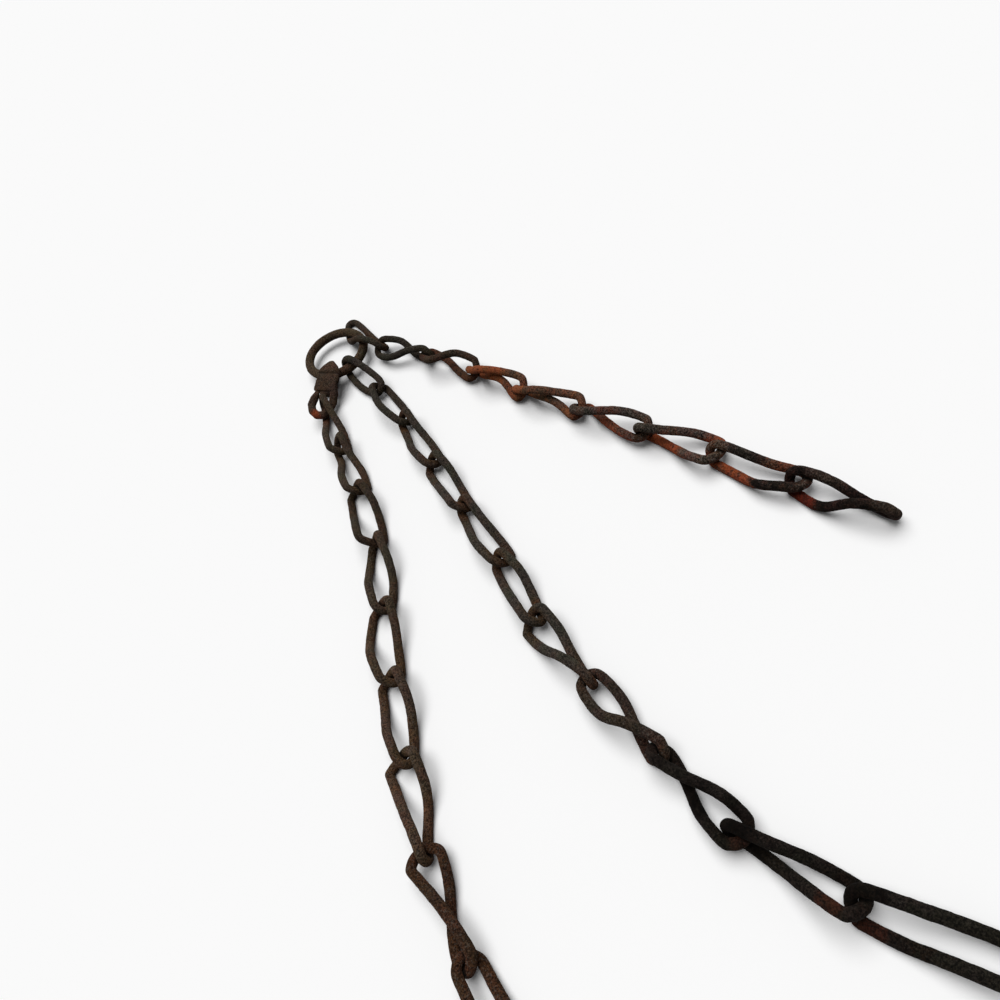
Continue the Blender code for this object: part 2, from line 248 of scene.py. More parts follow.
class NodeBench:
    """Adds and joins the nodes of one node tree."""

    def __init__(self, tree: bpy.types.NodeTree) -> None:
        """Keeps the tree that the nodes go into.

        Args:
            tree: a material's, a world's or a group's node tree.
        """
        self.tree = tree

    def feed(self, socket: bpy.types.NodeSocket, value: object) -> None:
        """Sets an input to a value, or joins a socket to it.

        Args:
            socket: the input.
            value: a number, a colour, a vector or the socket that feeds it.
        """
        if isinstance(value, bpy.types.NodeSocket):
            self.tree.links.new(value, socket)
        elif socket.type == "RGBA" and len(value) == 3:
            socket.default_value = (*value, 1.0)
        else:
            socket.default_value = value

    def add(
        self, kind: str, inputs: dict[str | int, object] | None = None, **settings: object
    ) -> bpy.types.Node:
        """Adds a node.

        Args:
            kind: the node's type name.
            inputs: for each input, a value or the socket that feeds it.
            settings: the node's own settings by name.

        Returns:
            The new node.
        """
        node = self.tree.nodes.new(kind)
        for name, value in settings.items():
            setattr(node, name, value)
        for key, value in (inputs or {}).items():
            self.feed(node.inputs[key], value)
        return node

    def math(
        self, operation: str, first: object, second: object, clamp: bool = False
    ) -> bpy.types.NodeSocket:
        """Adds a Math node.

        Args:
            operation: what it does.
            first: its first value or socket.
            second: its second value or socket.
            clamp: whether the result stays between 0 and 1.

        Returns:
            The result's socket.
        """
        values = {0: first, 1: second}
        return self.add("ShaderNodeMath", values, operation=operation, use_clamp=clamp).outputs[0]

    def total(self, *terms: tuple[object, object]) -> bpy.types.NodeSocket:
        """Adds up products, and keeps the sum between 0 and 1.

        Args:
            terms: the two factors of each product, as values or sockets.

        Returns:
            The sum's socket.
        """
        added = self.math("MULTIPLY", *terms[0])
        for factors in terms[1:]:
            added = self.math("ADD", added, self.math("MULTIPLY", *factors))
        return self.math("MULTIPLY", added, 1.0, clamp=True)

    def ramp(
        self, value: object, low: float, high: float, to_low: float = 0.0, to_high: float = 1.0
    ) -> bpy.types.NodeSocket:
        """Maps a range of values smoothly to another range.

        Args:
            value: the socket to map.
            low: the value that becomes to_low.
            high: the value that becomes to_high.
            to_low: the result at low.
            to_high: the result at high.

        Returns:
            The mapped socket.
        """
        inputs = {
            "Value": value,
            "From Min": low,
            "From Max": high,
            "To Min": to_low,
            "To Max": to_high,
        }
        node = self.add("ShaderNodeMapRange", inputs, interpolation_type="SMOOTHSTEP")
        return node.outputs["Result"]

    def mix(
        self, share: object, first: object, second: object, blend: str = "MIX"
    ) -> bpy.types.NodeSocket:
        """Mixes two colours.

        Args:
            share: how much of the second, as a value or a socket.
            first: a colour or a socket.
            second: a colour or a socket.
            blend: how they are mixed.

        Returns:
            The mixed colour's socket.
        """
        node = self.add("ShaderNodeMix", data_type="RGBA", blend_type=blend, clamp_factor=True)
        for number, value in ((0, share), (6, first), (7, second)):
            self.feed(node.inputs[number], value)
        return node.outputs[2]

    def pattern(self, place: bpy.types.NodeSocket, pattern: Pattern) -> bpy.types.NodeSocket:
        """Adds a blotchy pattern.

        Args:
            place: the coordinates that it reads.
            pattern: its size and its range.

        Returns:
            A mask's socket: 0 outside the pattern, 1 where it is full.
        """
        inputs = {
            "Vector": place,
            "Scale": 1.0 / pattern.size,
            "Detail": pattern.detail,
            "Roughness": pattern.roughness,
        }
        noise = self.add("ShaderNodeTexNoise", inputs).outputs[0]
        return self.ramp(noise, pattern.start, pattern.full)


@dataclass
class GroupBench:
    """A new shader node group, ready to be filled.

    Attributes:
        name: the group's name.
        inputs: for each input, its socket type. Each finish sets its value.
        outputs: for each output, its socket type.
    """

    name: str
    inputs: dict[str, str]
    outputs: dict[str, str]

    def __post_init__(self) -> None:
        """Makes the group's tree, its sockets and its two end nodes."""
        self.tree = bpy.data.node_groups.new(self.name, "ShaderNodeTree")
        for label, kind in self.inputs.items():
            self.tree.interface.new_socket(name=label, in_out="INPUT", socket_type=kind)
        for label, kind in self.outputs.items():
            self.tree.interface.new_socket(name=label, in_out="OUTPUT", socket_type=kind)
        self.given = self.tree.nodes.new("NodeGroupInput").outputs
        self.result = self.tree.nodes.new("NodeGroupOutput").inputs
        self.bench = NodeBench(self.tree)

    def put_out(self, **sockets: bpy.types.NodeSocket) -> bpy.types.NodeTree:
        """Joins the results to the group's outputs.

        Args:
            sockets: for each output, the socket that feeds it.

        Returns:
            The finished group.
        """
        for label, socket in sockets.items():
            self.tree.links.new(socket, self.result[label])
        return self.tree


class RustGroups:
    """The node groups that every iron finish shares."""

    def __init__(self) -> None:
        """Builds each group once."""
        self.masks = self.build_masks()
        self.grain = self.build_grain()
        self.tint = self.build_tint()

    @staticmethod
    def build_masks() -> bpy.types.NodeTree:
        """Where earth, bloom and sooty black lie on the iron, and the painted shade where pieces
        touch.

        Returns:
            The group.
        """
        marks = ("Joint", "Bloom Stain", "Soot And Shade Stain")
        shares = ("Earth Low", "Earth Broad", "Bloom Low", "Bloom Spots", "Soot Share")
        # The Soot output holds both the sooty black and the painted shade where pieces touch.
        group = GroupBench(
            "Rust Masks",
            {"Vector": VECTOR, **dict.fromkeys(marks + shares, FLOAT)},
            dict.fromkeys(("Earth", "Bloom", "Soot"), FLOAT),
        )
        bench, given = group.bench, group.given
        place = given["Vector"]
        height = bench.add("ShaderNodeSeparateXYZ", {0: place}).outputs["Z"]
        low = bench.ramp(height, *LOW_WIRES)
        broad = bench.pattern(place, BROAD)
        blotch = bench.pattern(place, BLOTCHES)
        spots = bench.pattern(place, SPOTS)
        dusted = bench.ramp(blotch, *EARTH_ON_BLOTCHES)
        lying = bench.math("MULTIPLY", low, dusted)
        patched = bench.math("MULTIPLY", broad, dusted)
        earth = bench.total(
            (lying, given["Earth Low"]),
            (patched, given["Earth Broad"]),
            (given["Joint"], 1.0),
        )
        sprinkled = bench.math("ADD", bench.math("MULTIPLY", blotch, broad), spots)
        flaked = bench.ramp(blotch, *BLOOM_ON_BLOTCHES)
        bloom = bench.total(
            (bench.math("MULTIPLY", low, flaked), given["Bloom Low"]),
            (sprinkled, given["Bloom Spots"]),
            (given["Bloom Stain"], bench.ramp(blotch, *STAIN_ON_BLOTCHES)),
        )
        smoked = bench.ramp(blotch, *SOOT_ON_BLOTCHES)
        sooted = bench.math("MULTIPLY", bench.math("SUBTRACT", 1.0, broad), smoked)
        # Painted shade: the iron blackens right where it touches a neighbour, darkest at contact.
        contact_shade = bench.ramp(given["Joint"], *CONTACT_SHADE_RANGE)
        soot_and_shade = bench.total(
            (sooted, given["Soot Share"]),
            (given["Soot And Shade Stain"], bench.ramp(blotch, *SOOT_STAIN_AND_SHADE_ON_BLOTCHES)),
            (contact_shade, CONTACT_SHADE_DARKNESS),
        )
        # Bloom gives way to the painted shade, and both the black and that shade give way to
        # bloom.
        bright = bench.math("MULTIPLY", bloom, bench.math("SUBTRACT", 1.0, contact_shade))
        soot_and_shade_mask = bench.math("MULTIPLY", soot_and_shade, bench.ramp(bright, *SOOT_AND_SHADE_UNDER_BLOOM))
        return group.put_out(Earth=earth, Bloom=bloom, Soot=soot_and_shade_mask)

    @staticmethod
    def build_grain() -> bpy.types.NodeTree:
        """The granular scale: its speckle, its pits, its slow drift in hue and its height.

        Returns:
            The group.
        """
        results = ("Speckle", "Pits", "Dust", "Drift", "Height")
        group = GroupBench("Iron Grain", {"Vector": VECTOR}, dict.fromkeys(results, FLOAT))
        bench, place = group.bench, group.given["Vector"]
        speckle = bench.pattern(place, SPECKLE)
        cells = {"Vector": place, "Scale": 1.0 / PIT_SIZE, "Randomness": 1.0}
        hollow = bench.add("ShaderNodeTexVoronoi", cells, feature="SMOOTH_F1").outputs["Distance"]
        pits = bench.ramp(hollow, *PIT_SLOPE)
        # Where pale dust lies; on the speckled right links it is partly painted highlight on the
        # grains.
        dust = bench.pattern(place, DUST_AND_GLINT_PATTERN)
        drift = bench.pattern(place, DRIFT)
        raised = bench.math("MULTIPLY", speckle, SPECKLE_HEIGHT)
        height = bench.math("ADD", raised, bench.math("MULTIPLY", pits, PIT_HEIGHT))
        return group.put_out(Speckle=speckle, Pits=pits, Dust=dust, Drift=drift, Height=height)

    @staticmethod
    def build_tint() -> bpy.types.NodeTree:
        """Lays the rust's colours over the iron from their masks.

        Returns:
            The group.
        """
        colours = dict.fromkeys(("Iron", "Earth", "Bloom", "Soot"), COLOR)
        masks = dict.fromkeys(("Earth Mask", "Bloom Mask", "Soot And Shade Mask"), FLOAT)
        looks = ("Speckle", "Pits", "Dust", "Drift", "Contrast", "Dust And Glints")
        inputs = {**colours, **masks, **dict.fromkeys(looks, FLOAT)}
        group = GroupBench("Rust Tint", inputs, {"Color": COLOR})
        bench, given = group.bench, group.given
        colour = bench.mix(given["Earth Mask"], given["Iron"], given["Earth"])
        colour = bench.mix(given["Bloom Mask"], colour, given["Bloom"])
        # This mask and colour lay both the sooty black and the painted shade where pieces touch.
        colour = bench.mix(given["Soot And Shade Mask"], colour, given["Soot"])
        hue = bench.mix(given["Drift"], RED_HUE, OLIVE_HUE)
        colour = bench.mix(1.0, colour, hue, "MULTIPLY")
        centred = bench.math("SUBTRACT", given["Speckle"], 0.5)
        swing = bench.math("MULTIPLY", centred, given["Contrast"])
        eased = bench.math("MULTIPLY", swing, bench.ramp(given["Bloom Mask"], *SPECKLE_ON_BLOOM))
        lit = bench.math("ADD", eased, 1.0)
        shade = bench.math("MULTIPLY", lit, bench.ramp(given["Pits"], *PIT_SHADE))
        grey = bench.add("ShaderNodeCombineColor", {0: shade, 1: shade, 2: shade}).outputs[0]
        colour = bench.mix(1.0, colour, grey, "MULTIPLY")
        covered = bench.math("MAXIMUM", given["Bloom Mask"], given["Soot And Shade Mask"])
        # Pale dust, on the speckled right links partly painted highlight on the grains.
        dust_and_glint_share = bench.math("MULTIPLY", given["Dust"], given["Dust And Glints"])
        dusted = bench.math("MULTIPLY", dust_and_glint_share, bench.math("SUBTRACT", 1.0, covered))
        return group.put_out(Color=bench.mix(dusted, colour, PALE_DUST_AND_GLINTS))


# ---------------------------------------------------------------------------------------------
# Finishes
# ---------------------------------------------------------------------------------------------


class Stain(Enum):
    """What a local patch is made of, by the attribute that holds it."""

    BLOOM = "bloom_stain"
    # The sooty stain also holds the painted shade in the hook's crease.
    SOOT = "soot_and_shade_stain"


@dataclass(frozen=True)
class RustFinish:
    """How one kind of piece has rusted.

    Attributes:
        name: the material's name.
        iron: the colour of the scale on the wires that stand up.
        earth: the colour of the crust where pieces meet and on the wires that lie low.
        bloom: the colour of its bright rust.
        soot_and_shade: the colour of its black patches and of its painted shade.
        earth_low: how much earth there is on the low wires, from 0 to 1.
        earth_broad: how much earth lies in patches elsewhere.
        bloom_low: how much bright rust there is on the low wires.
        bloom_spots: how much bright rust is sprinkled elsewhere.
        soot_share: how much black there is.
        contrast: how strong the speckle of the scale is.
        dust_and_glints: how much pale dust clings to it, on the speckled right links partly
            painted highlight.
        roughness: its mean roughness.
    """

    name: str
    iron: Colour
    earth: Colour
    bloom: Colour
    # Also the colour of the painted shade where pieces touch and in the hook's crease.
    soot_and_shade: Colour = (0.008, 0.006, 0.005)
    earth_low: float = 0.7
    earth_broad: float = 0.3
    bloom_low: float = 0.0
    bloom_spots: float = 0.08
    soot_share: float = 0.15
    contrast: float = 0.82
    dust_and_glints: float = 0.32
    roughness: float = 0.86

    def material(self, groups: RustGroups) -> bpy.types.Material:
        """Builds the finish as a material.

        Args:
            groups: the shared node groups.

        Returns:
            The material.
        """
        material = bpy.data.materials.new(self.name)
        material.use_nodes = True
        tree = material.node_tree
        bench = NodeBench(tree)
        shader = tree.nodes["Principled BSDF"].inputs
        place = bench.add("ShaderNodeTexCoord").outputs["Object"]
        # The sooty stain attribute also holds the painted shade in the hook's crease.
        joint, bloomed, sooted = (
            bench.add("ShaderNodeAttribute", attribute_name=name).outputs["Fac"]
            for name in ("joint", Stain.BLOOM.value, Stain.SOOT.value)
        )
        masks = bench.add("ShaderNodeGroup", node_tree=groups.masks)
        shares = {
            "Vector": place,
            "Joint": joint,
            "Bloom Stain": bloomed,
            "Soot And Shade Stain": sooted,
            "Earth Low": self.earth_low,
            "Earth Broad": self.earth_broad,
            "Bloom Low": self.bloom_low,
            "Bloom Spots": self.bloom_spots,
            "Soot Share": self.soot_share,
        }
        for label, value in shares.items():
            bench.feed(masks.inputs[label], value)
        grain = bench.add("ShaderNodeGroup", node_tree=groups.grain)
        bench.feed(grain.inputs["Vector"], place)
        tint = bench.add("ShaderNodeGroup", node_tree=groups.tint)
        looks = {
            "Iron": self.iron,
            "Earth": self.earth,
            "Bloom": self.bloom,
            "Soot": self.soot_and_shade,
            "Earth Mask": masks.outputs["Earth"],
            "Bloom Mask": masks.outputs["Bloom"],
            "Soot And Shade Mask": masks.outputs["Soot"],
            "Speckle": grain.outputs["Speckle"],
            "Pits": grain.outputs["Pits"],
            "Dust": grain.outputs["Dust"],
            "Drift": grain.outputs["Drift"],
            "Contrast": self.contrast,
            "Dust And Glints": self.dust_and_glints,
        }
        for label, value in looks.items():
            bench.feed(tint.inputs[label], value)
        bench.feed(shader["Base Color"], tint.outputs["Color"])

        ends = self.roughness - ROUGHNESS_SWING, self.roughness + ROUGHNESS_SWING
        bench.feed(shader["Roughness"], bench.ramp(grain.outputs["Speckle"], 0.0, 1.0, *ends))
        shader["Specular IOR Level"].default_value = SPECULAR
        shader["Diffuse Roughness"].default_value = DIFFUSE_ROUGHNESS
        raised = {
            "Height": grain.outputs["Height"],
            "Strength": GRAIN_STRENGTH,
            "Distance": GRAIN_DEPTH,
        }
        bench.feed(shader["Normal"], bench.add("ShaderNodeBump", raised).outputs["Normal"])
        return material


@dataclass(frozen=True)
class Patch:
    """A local patch of bright rust or soot on one piece.

    Attributes:
        node: the piece's solid.
        stain: what it is.
        place: its middle, as shares of the piece's box along x, y and z.
        radius: how far it spreads, in metres. It is at full strength out to half of that.
        strength: its full strength.
    """

    node: str
    stain: Stain
    place: tuple[float, float, float]
    radius: float
    strength: float = 1.0

    def strengths(self, places: np.ndarray) -> np.ndarray:
        """How strong the patch is at each point of its piece.

        Args:
            places: the piece's points, in metres.

        Returns:
            A value for each point.
        """
        low, high = (np.array(corner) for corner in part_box(self.node))
        middle = low + (high - low) * np.array(self.place)
        away = np.linalg.norm(places - middle, axis=1)
        return self.strength * smooth_step(2.0 * (1.0 - away / self.radius))


PATCHES = (
    Patch("strap_hook", Stain.BLOOM, (0.09, 0.12, 0.55), 0.0050),
    Patch("left_link_01", Stain.BLOOM, (0.37, 0.67, 0.22), 0.0045, 0.5),
    Patch("right_link_06", Stain.BLOOM, (0.51, 0.52, 0.82), 0.0070, 0.3),
    Patch("right_link_04", Stain.BLOOM, (0.28, 0.61, 0.87), 0.0170),
    Patch("right_link_05", Stain.BLOOM, (0.11, 0.83, 0.60), 0.0080, 0.8),
    Patch("right_link_07", Stain.BLOOM, (0.29, 0.58, 0.20), 0.0100, 0.6),
    Patch("right_link_08", Stain.BLOOM, (0.66, 0.42, 0.40), 0.0075, 0.3),
    Patch("right_link_09", Stain.BLOOM, (0.11, 0.76, 0.16), 0.0085),
    Patch("middle_link_09", Stain.BLOOM, (0.43, 0.05, 0.56), 0.0040, 0.4),
    Patch("middle_link_10", Stain.BLOOM, (0.50, 0.17, 0.78), 0.0050, 0.75),
    Patch("middle_link_11", Stain.BLOOM, (0.10, 0.75, 0.17), 0.0060, 0.6),
    Patch("right_link_03", Stain.SOOT, (0.20, 0.70, 0.50), 0.0055, 0.6),
    Patch("right_link_08", Stain.SOOT, (0.37, 0.20, 0.50), 0.0130, 0.9),
    Patch("right_link_08", Stain.SOOT, (0.50, 0.62, 0.80), 0.0110, 0.45),
    Patch("right_link_08", Stain.SOOT, (0.95, 0.05, 0.30), 0.0090, 0.75),
    Patch("right_link_09", Stain.SOOT, (0.15, 0.95, 0.60), 0.0085, 0.8),
    Patch("right_link_09", Stain.SOOT, (0.28, 0.30, 0.30), 0.0160, 0.8),
    Patch("middle_link_09", Stain.SOOT, (0.90, 0.20, 0.60), 0.0080, 0.5),
    Patch("left_link_03", Stain.SOOT, (0.50, 0.50, 0.50), 0.0300, 0.35),
    Patch("middle_link_09", Stain.SOOT, (0.24, 0.49, 0.27), 0.0100, 0.8),
    Patch("middle_link_10", Stain.SOOT, (0.12, 0.94, 0.65), 0.0120, 0.9),
    Patch("middle_link_10", Stain.SOOT, (0.18, 0.78, 0.16), 0.0100, 0.9),
    Patch("middle_link_10", Stain.SOOT, (0.50, 0.50, 0.50), 0.0300, 0.25),
    Patch("middle_link_11", Stain.SOOT, (0.24, 0.94, 0.76), 0.0090, 0.9),
    Patch("ring", Stain.SOOT, (0.95, 0.25, 0.50), 0.0120, 0.35),
)

RING_BROWN = RustFinish(
    "ring_brown",
    iron=(0.068, 0.052, 0.034),
    earth=(0.070, 0.043, 0.028),
    bloom=(0.110, 0.046, 0.024),
    earth_low=0.4,
    earth_broad=0.6,
    bloom_spots=0.12,
    soot_share=0.1,
)
HOOK_UMBER = RustFinish(
    "hook_umber",
    iron=(0.057, 0.038, 0.030),
    earth=(0.060, 0.036, 0.026),
    bloom=(0.190, 0.050, 0.022),
    earth_low=0.6,
    earth_broad=0.5,
    bloom_spots=0.05,
    soot_share=0.08,
)
LEFT_BROWN = RustFinish(
    "left_strand_brown",
    iron=(0.052, 0.043, 0.034),
    earth=(0.062, 0.039, 0.025),
    bloom=(0.110, 0.046, 0.026),
    earth_low=0.85,
    earth_broad=0.35,
)
LEFT_OCHRE = RustFinish(
    "left_strand_ochre",
    iron=(0.058, 0.043, 0.033),
    earth=(0.070, 0.041, 0.024),
    bloom=(0.130, 0.052, 0.028),
    earth_low=0.9,
    earth_broad=0.45,
    bloom_spots=0.15,
    soot_share=0.12,
)
LEFT_UMBER = RustFinish(
    "left_strand_umber",
    iron=(0.042, 0.025, 0.016),
    earth=(0.050, 0.023, 0.013),
    bloom=(0.100, 0.038, 0.020),
    earth_low=0.9,
    earth_broad=0.5,
    bloom_spots=0.1,
    soot_share=0.3,
)
MIDDLE_GREY = RustFinish(
    "middle_strand_grey",
    iron=(0.0405, 0.0385, 0.0335),
    earth=(0.064, 0.033, 0.018),
    bloom=(0.110, 0.045, 0.021),
    earth_low=0.35,
    earth_broad=0.2,
    bloom_spots=0.06,
    soot_share=0.22,
)
MIDDLE_UMBER = RustFinish(
    "middle_strand_umber",
    iron=(0.032, 0.025, 0.021),
    earth=(0.038, 0.022, 0.016),
    bloom=(0.070, 0.032, 0.022),
    soot_share=0.35,
)
BLACKENED = RustFinish(
    "blackened_iron",
    iron=(0.0145, 0.0130, 0.0115),
    earth=(0.0085, 0.0065, 0.0052),
    bloom=(0.046, 0.016, 0.010),
    soot_and_shade=(0.0030, 0.0022, 0.0018),
    earth_low=0.9,
    bloom_spots=0.06,
    soot_share=0.45,
    dust_and_glints=0.08,
)
SHADED_GREY = RustFinish(
    "shaded_grey",
    iron=(0.037, 0.034, 0.030),
    earth=(0.036, 0.027, 0.018),
    bloom=(0.070, 0.034, 0.020),
    earth_low=0.5,
    bloom_spots=0.05,
    soot_share=0.3,
)
RIGHT_RUSSET = RustFinish(
    "right_strand_russet",
    iron=(0.044, 0.032, 0.025),
    earth=(0.052, 0.030, 0.020),
    bloom=(0.110, 0.044, 0.026),
    bloom_low=0.7,
    bloom_spots=0.2,
    soot_share=0.35,
)
RIGHT_ORANGE = RustFinish(
    "right_strand_orange",
    iron=(0.090, 0.060, 0.042),
    earth=(0.150, 0.060, 0.034),
    bloom=(0.270, 0.086, 0.038),
    earth_low=0.4,
    bloom_low=0.25,
    bloom_spots=0.35,
    soot_share=0.2,
)
RIGHT_SPECKLED = RustFinish(
    "right_strand_speckled",
    iron=(0.052, 0.046, 0.043),
    earth=(0.075, 0.040, 0.027),
    bloom=(0.235, 0.058, 0.026),
    earth_low=0.3,
    earth_broad=0.45,
    bloom_low=0.95,
    bloom_spots=0.15,
    soot_share=0.4,
    contrast=0.95,
    # Much of this pale dust is painted highlight on the grains.
    dust_and_glints=0.85,
)
RIGHT_DARK_RED = RustFinish(
    "right_strand_dark_red",
    iron=(0.046, 0.032, 0.029),
    earth=(0.023, 0.012, 0.009),
    bloom=(0.110, 0.021, 0.012),
    soot_and_shade=(0.0035, 0.0025, 0.0020),
    earth_low=0.8,
    bloom_spots=0.15,
    soot_share=0.45,
)


# ---------------------------------------------------------------------------------------------
# Forged pieces
# ---------------------------------------------------------------------------------------------


class Relief:
    """The textures that shape every piece's surface.

    Attributes:
        hammer_size: how wide the smith's unevenness is, in metres.
        scale_size: how wide the lumps of scale are, in metres.
        crust_size: how wide the grains of the fine crust are, in metres.
    """

    hammer_size = 0.0075
    scale_size = 0.0022
    crust_size = 0.0009

    def __init__(self) -> None:
        """Makes each texture once."""
        self.hammered = self.cloud("hammered", self.hammer_size, 1)
        self.scaled = self.cloud("scaled", self.scale_size, 2)
        self.crusted = self.cloud("crusted", self.crust_size, 2)

    @staticmethod
    def cloud(name: str, size: float, depth: int) -> bpy.types.Texture:
        """Makes a cloud texture.

        Args:
            name: the texture's name.
            size: the size of its lumps in metres.
            depth: its octaves.

        Returns:
            The texture.
        """
        texture = bpy.data.textures.new(name, "CLOUDS")
        texture.noise_scale = size
        texture.noise_depth = depth
        return texture


@dataclass
class ForgedPiece:
    """One piece of iron, worked from its solid.

    Attributes:
        node: the solid's name.
        finish: how it has rusted.
        facet_steps: how many times its facets are divided while they are bent smooth.
        fullness: how far its corners are filled, so that bending the facets doesn't thin it.
        cell: the size of its mesh's faces, in metres.
        easing: how strongly its faces are eased into each other each time.
        rounding: how many times they are eased.
        swell: how far its faces move out once they are eased, in metres.
        hammering: the depth of the smith's unevenness, in metres.
        scaling: the depth of the scale, in metres.
        crust: the depth of the fine crust, in metres.
    """

    node: str
    finish: RustFinish
    facet_steps: int = 2
    fullness: float = 0.3
    cell: float = 0.00034
    easing: float = 0.5
    rounding: int = 4
    swell: float = 0.00027
    hammering: float = 0.00030
    scaling: float = 0.00020
    crust: float = 0.00009

    def forge(self, relief: Relief) -> bpy.types.Object:
        """Makes the piece's mesh: rounded, hammered, scaled and crusted.

        Args:
            relief: the shared relief textures.

        Returns:
            The new object, at the origin.
        """
        data = frame["nodes"][self.node].data.copy()
        data.materials.clear()
        piece = bpy.data.objects.new(f"{self.node}_iron", data)
        bpy.context.scene.collection.objects.link(piece)
        select_only(piece)
        bpy.ops.object.mode_set(mode="EDIT")
        bpy.ops.mesh.select_all(action="SELECT")
        bpy.ops.mesh.remove_doubles(threshold=WELD)
        bpy.ops.mesh.tris_convert_to_quads(face_threshold=QUAD_BEND, shape_threshold=QUAD_SKEW)
        bpy.ops.object.mode_set(mode="OBJECT")
        if self.facet_steps:
            self.bend_facets(piece)
        apply_modifier(piece, "REMESH", mode="VOXEL", voxel_size=self.cell)
        apply_modifier(piece, "SMOOTH", factor=self.easing, iterations=self.rounding)
        apply_modifier(piece, "DISPLACE", strength=self.swell, mid_level=0.0)
        self.chisel(piece)
        for texture, depth in (
            (relief.hammered, self.hammering),
            (relief.scaled, self.scaling),
            (relief.crusted, self.crust),
        ):
            settings = {"texture": texture, "texture_coords": "LOCAL", "mid_level": 0.5}
            apply_modifier(piece, "DISPLACE", strength=depth, **settings)
        place_points(piece, np.clip(points_of(piece), *(np.array(corner) for corner in CAD_BOX)))
        piece.data.shade_smooth()
        return piece

    def bend_facets(self, piece: bpy.types.Object) -> None:
        """Bends the wire's facets into one smooth curve that stays full in its corners.

        Args:
            piece: the piece's faceted mesh.
        """
        corners = points_of(piece)
        faceted = piece.data.copy()
        apply_modifier(piece, "SUBSURF", levels=1, use_limit_surface=True)
        eased = points_of(piece)[: len(corners)]
        piece.data = faceted
        place_points(piece, corners + (corners - eased) * self.fullness)
        apply_modifier(piece, "SUBSURF", levels=self.facet_steps, use_limit_surface=True)

    def chisel(self, piece: bpy.types.Object) -> None:
        """Cuts the piece's own details, where it has any.

        Args:
            piece: the object, before its surface is roughened.
        """

    def detail_shade(self, places: np.ndarray) -> np.ndarray:
        """Painted shade in the piece's own details: none on a plain piece.

        Args:
            places: the piece's points, in metres.

        Returns:
            A value for each point.
        """
        return np.zeros(len(places))

    def stain(self, piece: bpy.types.Object) -> None:
        """Marks where the piece's local patches lie, and where its painted shade lies.

        Args:
            piece: the forged object.
        """
        places = points_of(piece)
        for stain in Stain:
            # The sooty stain also carries the piece's painted shade, such as in the hook's crease.
            values = self.detail_shade(places) if stain is Stain.SOOT else np.zeros(len(places))
            for patch in PATCHES:
                if patch.node == self.node and patch.stain is stain:
                    values = np.maximum(values, patch.strengths(places))
            write_mask(piece, stain.value, values)

    def dress(self, piece: bpy.types.Object, material: bpy.types.Material, slot: str) -> None:
        """Gives the piece its finish and its place in the model.

        Args:
            piece: the forged object.
            material: its finish as a material.
            slot: its material slot in the record; not used.
        """
        self.stain(piece)
        piece.data.materials.append(material)
        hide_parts(self.node)
        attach(piece, BODY)
        LOG.info("%s: %d faces, finish %s", piece.name, len(piece.data.polygons), self.finish.name)


@dataclass
class StrapHook(ForgedPiece):
    """The hook whose strap is folded over the ring.

    Attributes:
        fold: the plan direction in which the strap leaves the ring, in degrees from +X.
        crease: how far from the ring's middle the crease crosses the strap, in metres.
        crease_width: its half width, in metres.
        crease_depth: its depth, in metres.
        crease_shade: how dark the painted shade in the crease is.
        strap_floor: the height above which the strap is creased, in metres.
        crease_fade: over what height the crease gets its depth, in metres.
    """

    facet_steps: int = 0
    rounding: int = 14
    swell: float = 0.00018
    fold: float = 223.8
    crease: float = 0.0193
    crease_width: float = 0.0007
    crease_depth: float = 0.0008
    crease_shade: float = 0.7
    strap_floor: float = 0.0095
    crease_fade: float = 0.001

    def crease_marks(self, places: np.ndarray) -> np.ndarray:
        """Where the crease of the fold crosses the strap.

        Args:
            places: points of the hook, in metres.

        Returns:
            For each point, 1 in the crease and 0 away from it.
        """
        low, high = (np.array(corner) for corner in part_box("ring"))
        turned = math.radians(self.fold)
        outward = places[:, :2] - ((low + high) / 2)[:2]
        reach = outward @ np.array((math.cos(turned), math.sin(turned)))
        near = np.exp(-(((reach - self.crease) / self.crease_width) ** 2))
        return near * smooth_step((places[:, 2] - self.strap_floor) / self.crease_fade)

    def chisel(self, piece: bpy.types.Object) -> None:
        """Presses the crease of the fold across the strap.

        Args:
            piece: the hook, before its surface is roughened.
        """
        places = points_of(piece)
        places[:, 2] -= self.crease_depth * self.crease_marks(places)
        place_points(piece, places)

    def detail_shade(self, places: np.ndarray) -> np.ndarray:
        """Painted shade in the crease.

        Args:
            places: the hook's points, in metres.

        Returns:
            A value for each point.
        """
        return self.crease_shade * self.crease_marks(places)


